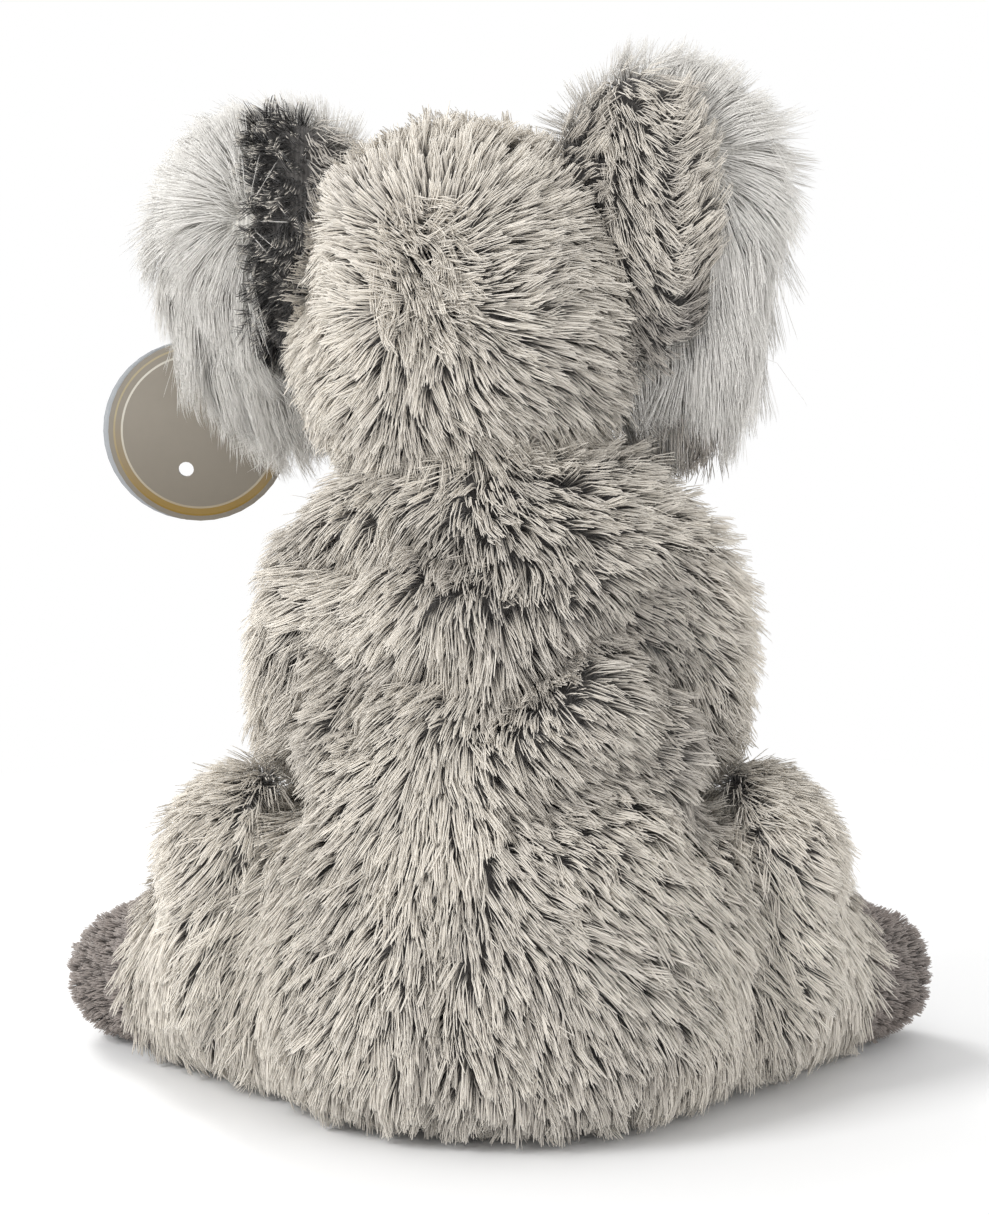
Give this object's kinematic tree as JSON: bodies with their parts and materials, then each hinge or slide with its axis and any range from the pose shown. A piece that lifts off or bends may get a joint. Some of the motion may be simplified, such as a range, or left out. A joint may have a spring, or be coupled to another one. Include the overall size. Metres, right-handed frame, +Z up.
{
  "type": "plush koala",
  "caption": "Seated soft toy koala with a turning head, folding ears, swinging arms and legs, and a folded swing tag on one ear.",
  "frame": {"origin": "the middle of the seat's flat face, on the surface that the koala sits on", "axes": "+Z up, the belly faces -Y, the koala's left side is +X; the head is turned towards -X"},
  "size_m": [0.1918, 0.1115, 0.2222],
  "materials": {
    "grey_plush": "long pile plush, dark roots and pale tips",
    "white_plush": "very long fine white pile",
    "taupe_plush": "short dense pile",
    "fibre": "loose polyester fibre",
    "pellet_cloth": "plain lining cloth filled with pellets",
    "eye_plastic": "polished",
    "nose_plastic": "fine leather grain",
    "washer_plastic": "moulded",
    "tag_card": "coated card, blank",
    "clear_plastic": "clear"
  },
  "bodies": {
    "torso": {"back_cover_left": "grey_plush", "back_cover_right": "grey_plush", "belly_cover": "grey_plush", "torso_stuffing": "fibre", "pellet_bag": "pellet_cloth"},
    "head": {"head_cover_left": "grey_plush", "head_cover_right": "grey_plush", "muzzle_cover": "grey_plush", "head_stuffing": "fibre", "nose": "nose_plastic", "eye_left": "eye_plastic", "eye_right": "eye_plastic", "eye_washer_left": "washer_plastic", "eye_washer_right": "washer_plastic"},
    "ear_left": {"ear_left_back": "grey_plush", "ear_left_front": "white_plush", "tag_loop": "clear_plastic"},
    "ear_right": {"ear_right_back": "grey_plush", "ear_right_front": "white_plush"},
    "arm_left": {"arm_left_cover": "grey_plush", "arm_left_stuffing": "fibre", "paw_left": "taupe_plush"},
    "arm_right": {"arm_right_cover": "grey_plush", "arm_right_stuffing": "fibre", "paw_right": "taupe_plush"},
    "leg_left": {"leg_left_cover": "grey_plush", "leg_left_stuffing": "fibre", "foot_left": "taupe_plush"},
    "leg_right": {"leg_right_cover": "grey_plush", "leg_right_stuffing": "fibre", "foot_right": "taupe_plush"},
    "tag": {"tag_back_leaf": "tag_card"},
    "tag_front": {"tag_front_leaf": "tag_card"}
  },
  "joints": [
    {"name": "head_turn", "type": "hinge", "parent": "torso", "child": "head", "pos_m": [0.005, 0, 0.135], "axis": [0.0861, -0.1564, 0.9839], "range_deg": [-20, 40], "stiffness_Nm_per_rad": 0.05},
    {"name": "ear_left_fold", "type": "hinge", "parent": "head", "child": "ear_left", "pos_m": [0.04273, -0.01622, 0.184], "axis": [0.0861, -0.1564, 0.9839], "range_deg": [-20, 20], "stiffness_Nm_per_rad": 0.02},
    {"name": "ear_right_fold", "type": "hinge", "parent": "head", "child": "ear_right", "pos_m": [-0.02061, 0.00675, 0.1932], "axis": [0.0861, -0.1564, 0.9839], "range_deg": [-20, 20], "stiffness_Nm_per_rad": 0.02},
    {"name": "arm_left_swing", "type": "hinge", "parent": "torso", "child": "arm_left", "pos_m": [0.036, 0.004, 0.112], "axis": [-1, 0, 0], "range_deg": [-10, 30], "stiffness_Nm_per_rad": 0.05},
    {"name": "arm_right_swing", "type": "hinge", "parent": "torso", "child": "arm_right", "pos_m": [-0.036, 0.004, 0.112], "axis": [-1, 0, 0], "range_deg": [-10, 30], "stiffness_Nm_per_rad": 0.05},
    {"name": "leg_left_swing", "type": "hinge", "parent": "torso", "child": "leg_left", "pos_m": [0.05, 0.002, 0.0325], "axis": [-1, 0, 0], "range_deg": [-15, 35], "stiffness_Nm_per_rad": 0.1},
    {"name": "leg_right_swing", "type": "hinge", "parent": "torso", "child": "leg_right", "pos_m": [-0.05, 0.002, 0.0325], "axis": [-1, 0, 0], "range_deg": [-15, 35], "stiffness_Nm_per_rad": 0.1},
    {"name": "tag_swing", "type": "hinge", "parent": "ear_left", "child": "tag", "pos_m": [0.06617, -0.05045, 0.14962], "axis": [0, 1, 0], "range_deg": [-25, 25]},
    {"name": "tag_open", "type": "hinge", "parent": "tag", "child": "tag_front", "pos_m": [0.04737, -0.05045, 0.13282], "axis": [0, 0, 1], "range_deg": [-60, 0]}
  ]
}
